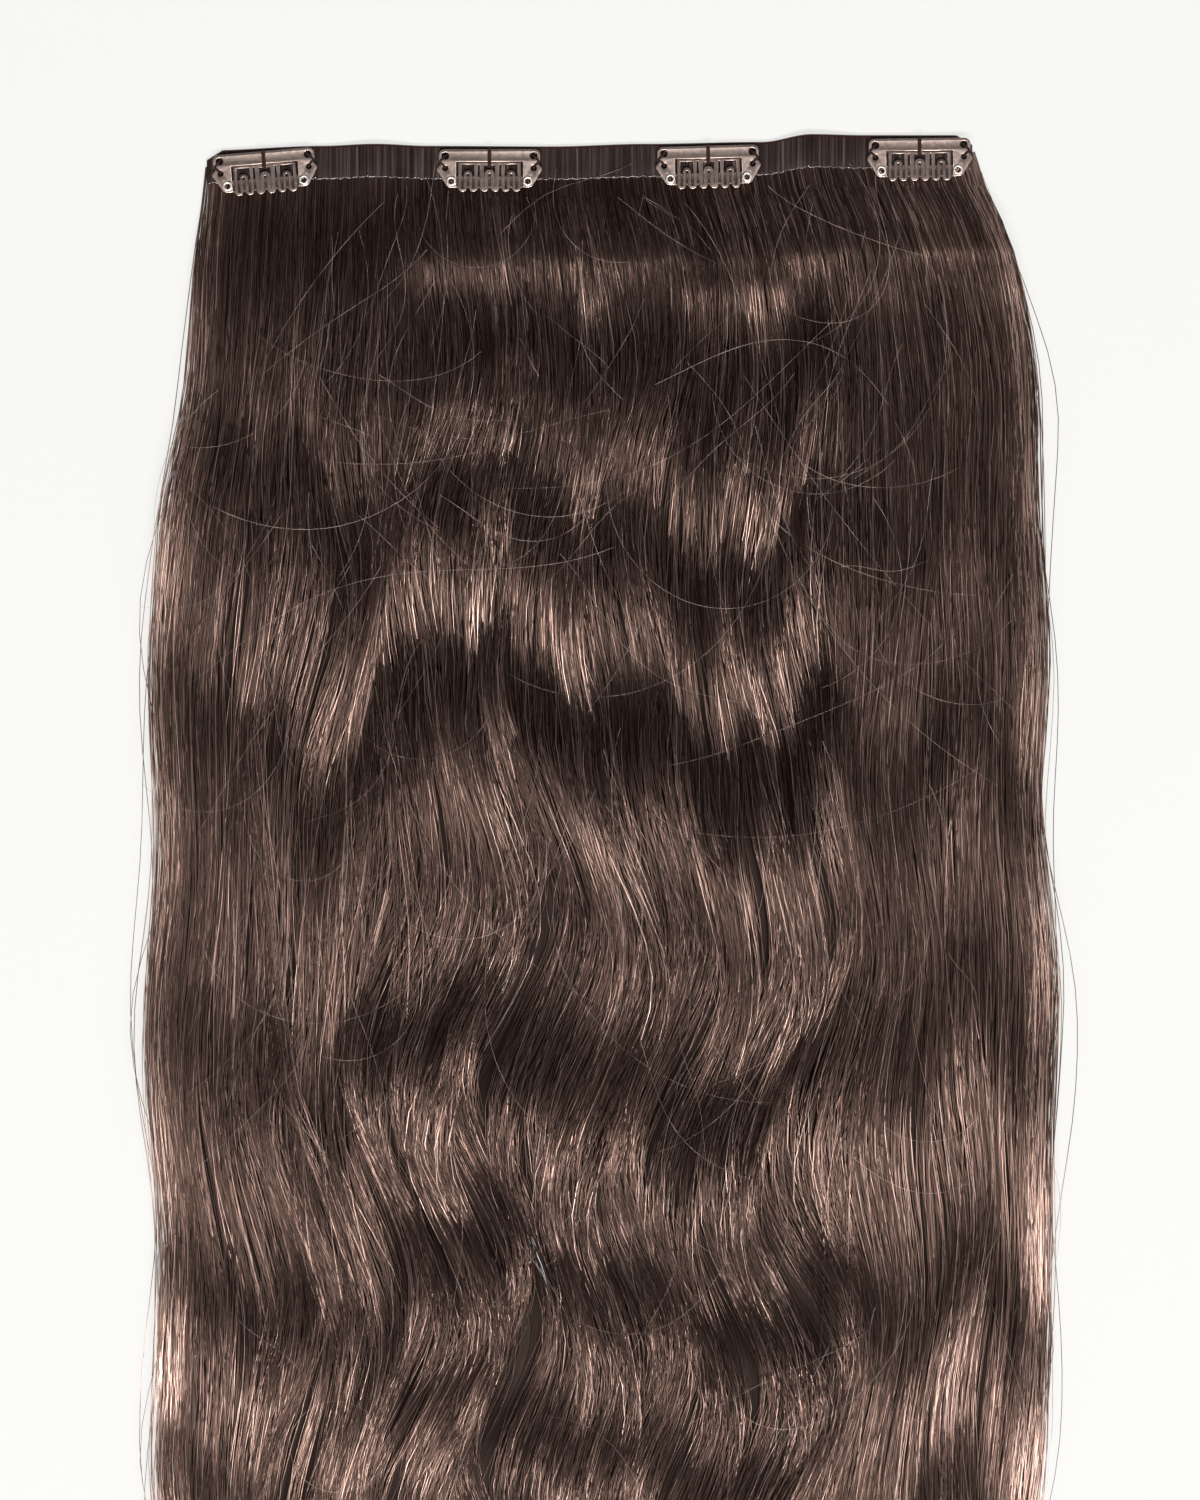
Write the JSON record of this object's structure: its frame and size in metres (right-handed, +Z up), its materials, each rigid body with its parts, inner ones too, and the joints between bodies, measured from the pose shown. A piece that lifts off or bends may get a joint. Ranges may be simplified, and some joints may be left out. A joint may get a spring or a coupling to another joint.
{
  "type": "clip in hair extension",
  "caption": "Wide weft of long wavy hair gripped in a clear folded film band, with snap clips sewn on its face for clipping it under the wearer's own hair.",
  "frame": {"origin": "middle of the footprint, on the table that the weft's back lies on", "axes": "+X along the band to its right end, seen with the clips up; +Y from the hair's tips to the band; +Z up, out of the side that the clips are sewn on"},
  "size_m": [0.2454, 0.47, 0.0116],
  "materials": {
    "film": "clear glossy film over dark roots",
    "hair": "dark brown, silky",
    "clip_steel": "taupe satin plating",
    "rivet_steel": "bright plated",
    "thread": "matt dark brown"
  },
  "bodies": {
    "weft": {"band": "film", "hair": "hair", "plate_1": "clip_steel", "bar_1": "clip_steel", "rivet_left_1": "rivet_steel", "rivet_right_1": "rivet_steel", "stitch_left_1": "thread", "stitch_right_1": "thread", "stitch_middle_1": "thread", "plate_2": "clip_steel", "bar_2": "clip_steel", "rivet_left_2": "rivet_steel", "rivet_right_2": "rivet_steel", "stitch_left_2": "thread", "stitch_right_2": "thread", "stitch_middle_2": "thread", "plate_3": "clip_steel", "bar_3": "clip_steel", "rivet_left_3": "rivet_steel", "rivet_right_3": "rivet_steel", "stitch_left_3": "thread", "stitch_right_3": "thread", "stitch_middle_3": "thread", "plate_4": "clip_steel", "bar_4": "clip_steel", "rivet_left_4": "rivet_steel", "rivet_right_4": "rivet_steel", "stitch_left_4": "thread", "stitch_right_4": "thread", "stitch_middle_4": "thread"},
    "comb_1": {"comb_1": "clip_steel"},
    "comb_2": {"comb_2": "clip_steel"},
    "comb_3": {"comb_3": "clip_steel"},
    "comb_4": {"comb_4": "clip_steel"}
  },
  "joints": [
    {"name": "comb_1_hinge", "type": "hinge", "parent": "weft", "child": "comb_1", "pos_m": [-0.0905, 0.22656, 0.0026], "axis": [-0.9963, -0.0859, 0], "range_deg": [0, 35]},
    {"name": "comb_2_hinge", "type": "hinge", "parent": "weft", "child": "comb_2", "pos_m": [-0.03053, 0.22709, 0.0026], "axis": [-1, -0.0018, 0], "range_deg": [0, 35]},
    {"name": "comb_3_hinge", "type": "hinge", "parent": "weft", "child": "comb_3", "pos_m": [0.0277, 0.22798, 0.0026], "axis": [-0.9996, -0.0267, 0], "range_deg": [0, 35]},
    {"name": "comb_4_hinge", "type": "hinge", "parent": "weft", "child": "comb_4", "pos_m": [0.08396, 0.23001, 0.0026], "axis": [-0.9999, -0.014, 0], "range_deg": [0, 35]}
  ]
}
